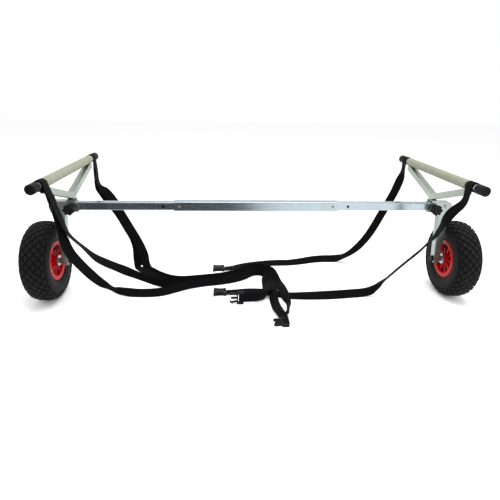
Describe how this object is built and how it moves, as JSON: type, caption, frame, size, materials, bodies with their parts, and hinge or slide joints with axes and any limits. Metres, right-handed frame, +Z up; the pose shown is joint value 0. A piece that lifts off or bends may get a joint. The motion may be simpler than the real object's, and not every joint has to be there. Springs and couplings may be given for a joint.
{
  "type": "boat launching cart",
  "caption": "Telescopic boat launching cart: square cross tube, tapered legs, tilting V cradles with sleeved hull bars, pneumatic wheels and buckled webbing straps.",
  "frame": {"origin": "on the floor, midway between the two hull bars and half way along them", "axes": "+X across the cart to the right-hand wheel, +Y from the knob side to the rear, along the hull bars, +Z up"},
  "size_m": [1.462, 0.5634, 0.4392],
  "materials": {
    "zinc_tube": "bright zinc-plated drawn tube, faintly mottled",
    "zinc_sheet": "zinc-plated folded sheet, faint spangle",
    "bar_steel": "bright plated round tube",
    "fastener_steel": "zinc-plated fasteners",
    "bearing_steel": "ground steel",
    "spring_steel": "oiled spring steel",
    "brass": "yellow passivated",
    "black_plastic": "moulded black plastic, fine grain",
    "buckle_plastic": "moulded acetal, fine grain",
    "grey_plastic": "beige-grey extruded sleeve",
    "black_rubber": "moulded rubber",
    "tyre_rubber": "charcoal tyre rubber",
    "tube_rubber": "smooth rubber",
    "red_plastic": "glossy red moulding",
    "black_webbing": "woven polyester webbing"
  },
  "bodies": {
    "centre": {"centre_tube": "zinc_tube"},
    "right_side": {"right_inner_tube": "zinc_tube", "right_tube_end_plug": "black_plastic", "right_snap_spring": "spring_steel", "right_bracket": "zinc_sheet", "right_leg": "zinc_sheet", "right_leg_bolt": "fastener_steel", "right_pivot_bolt": "fastener_steel", "right_pivot_washers": "fastener_steel", "right_axle": "fastener_steel", "right_axle_cap": "black_plastic", "right_axle_spacers": "fastener_steel", "right_axle_nut": "fastener_steel", "right_front_strap": "black_webbing", "right_rear_strap": "black_webbing", "right_female_buckles": "buckle_plastic"},
    "right_saddle": {"right_fork": "zinc_sheet", "right_front_arm": "zinc_tube", "right_rear_arm": "zinc_tube", "right_hull_bar": "bar_steel", "right_bar_sleeve": "grey_plastic", "right_bar_caps": "black_rubber", "right_strap_loops": "black_webbing"},
    "right_wheel": {"right_tyre": "tyre_rubber", "right_tyre_tube": "tube_rubber", "right_rim": "red_plastic", "right_bearings": "bearing_steel"},
    "right_knob": {"right_star_knob": "black_plastic"},
    "right_button": {"right_snap_button": "brass"},
    "left_side": {"left_inner_tube": "zinc_tube", "left_tube_end_plug": "black_plastic", "left_snap_spring": "spring_steel", "left_bracket": "zinc_sheet", "left_leg": "zinc_sheet", "left_leg_bolt": "fastener_steel", "left_pivot_bolt": "fastener_steel", "left_pivot_washers": "fastener_steel", "left_axle": "fastener_steel", "left_axle_cap": "black_plastic", "left_axle_spacers": "fastener_steel", "left_axle_nut": "fastener_steel", "left_front_strap_outer": "black_webbing", "left_front_strap_inner": "black_webbing", "left_rear_strap_outer": "black_webbing", "left_rear_strap_inner": "black_webbing", "left_male_buckles": "buckle_plastic"},
    "left_saddle": {"left_fork": "zinc_sheet", "left_front_arm": "zinc_tube", "left_rear_arm": "zinc_tube", "left_hull_bar": "bar_steel", "left_bar_sleeve": "grey_plastic", "left_bar_caps": "black_rubber", "left_strap_loops": "black_webbing", "left_slide_adjusters": "buckle_plastic"},
    "left_wheel": {"left_tyre": "tyre_rubber", "left_tyre_tube": "tube_rubber", "left_rim": "red_plastic", "left_bearings": "bearing_steel"},
    "left_knob": {"left_star_knob": "black_plastic"},
    "left_button": {"left_snap_button": "brass"}
  },
  "joints": [
    {"name": "right_width_slide", "type": "slide", "parent": "centre", "child": "right_side", "axis": [1, 0, 0], "range_m": [-0.145, 0.05], "deforming": ["right_front_strap", "right_rear_strap", "right_snap_button"]},
    {"name": "right_cradle_tilt", "type": "hinge", "parent": "right_side", "child": "right_saddle", "pos_m": [0.578, -0.01, 0.311], "axis": [0, 1, 0], "range_deg": [-15, 15], "deforming": ["right_front_strap", "right_rear_strap"]},
    {"name": "right_wheel_spin", "type": "hinge", "parent": "right_side", "child": "right_wheel", "pos_m": [0.682, -0.01, 0.13], "axis": [1, 0, 0], "continuous": true},
    {"name": "right_knob_turn", "type": "hinge", "parent": "right_side", "child": "right_knob", "pos_m": [0.578, -0.01, 0.311], "axis": [0, 1, 0], "continuous": true},
    {"name": "right_button_press", "type": "slide", "parent": "right_side", "child": "right_button", "axis": [0, 1, 0], "range_m": [0, 0.005], "stiffness_N_per_m": 600, "deforming": ["right_snap_spring"]},
    {"name": "left_width_slide", "type": "slide", "parent": "centre", "child": "left_side", "axis": [-1, 0, 0], "range_m": [-0.145, 0.05], "deforming": ["left_front_strap_outer", "left_front_strap_inner", "left_rear_strap_outer", "left_rear_strap_inner", "left_snap_button"]},
    {"name": "left_cradle_tilt", "type": "hinge", "parent": "left_side", "child": "left_saddle", "pos_m": [-0.578, -0.01, 0.311], "axis": [0, 1, 0], "range_deg": [-15, 15], "deforming": ["left_front_strap_outer", "left_front_strap_inner", "left_rear_strap_outer", "left_rear_strap_inner"]},
    {"name": "left_wheel_spin", "type": "hinge", "parent": "left_side", "child": "left_wheel", "pos_m": [-0.682, -0.01, 0.13], "axis": [1, 0, 0], "continuous": true},
    {"name": "left_knob_turn", "type": "hinge", "parent": "left_side", "child": "left_knob", "pos_m": [-0.578, -0.01, 0.311], "axis": [0, 1, 0], "continuous": true},
    {"name": "left_button_press", "type": "slide", "parent": "left_side", "child": "left_button", "axis": [0, 1, 0], "range_m": [0, 0.005], "stiffness_N_per_m": 600, "deforming": ["left_snap_spring"]}
  ]
}
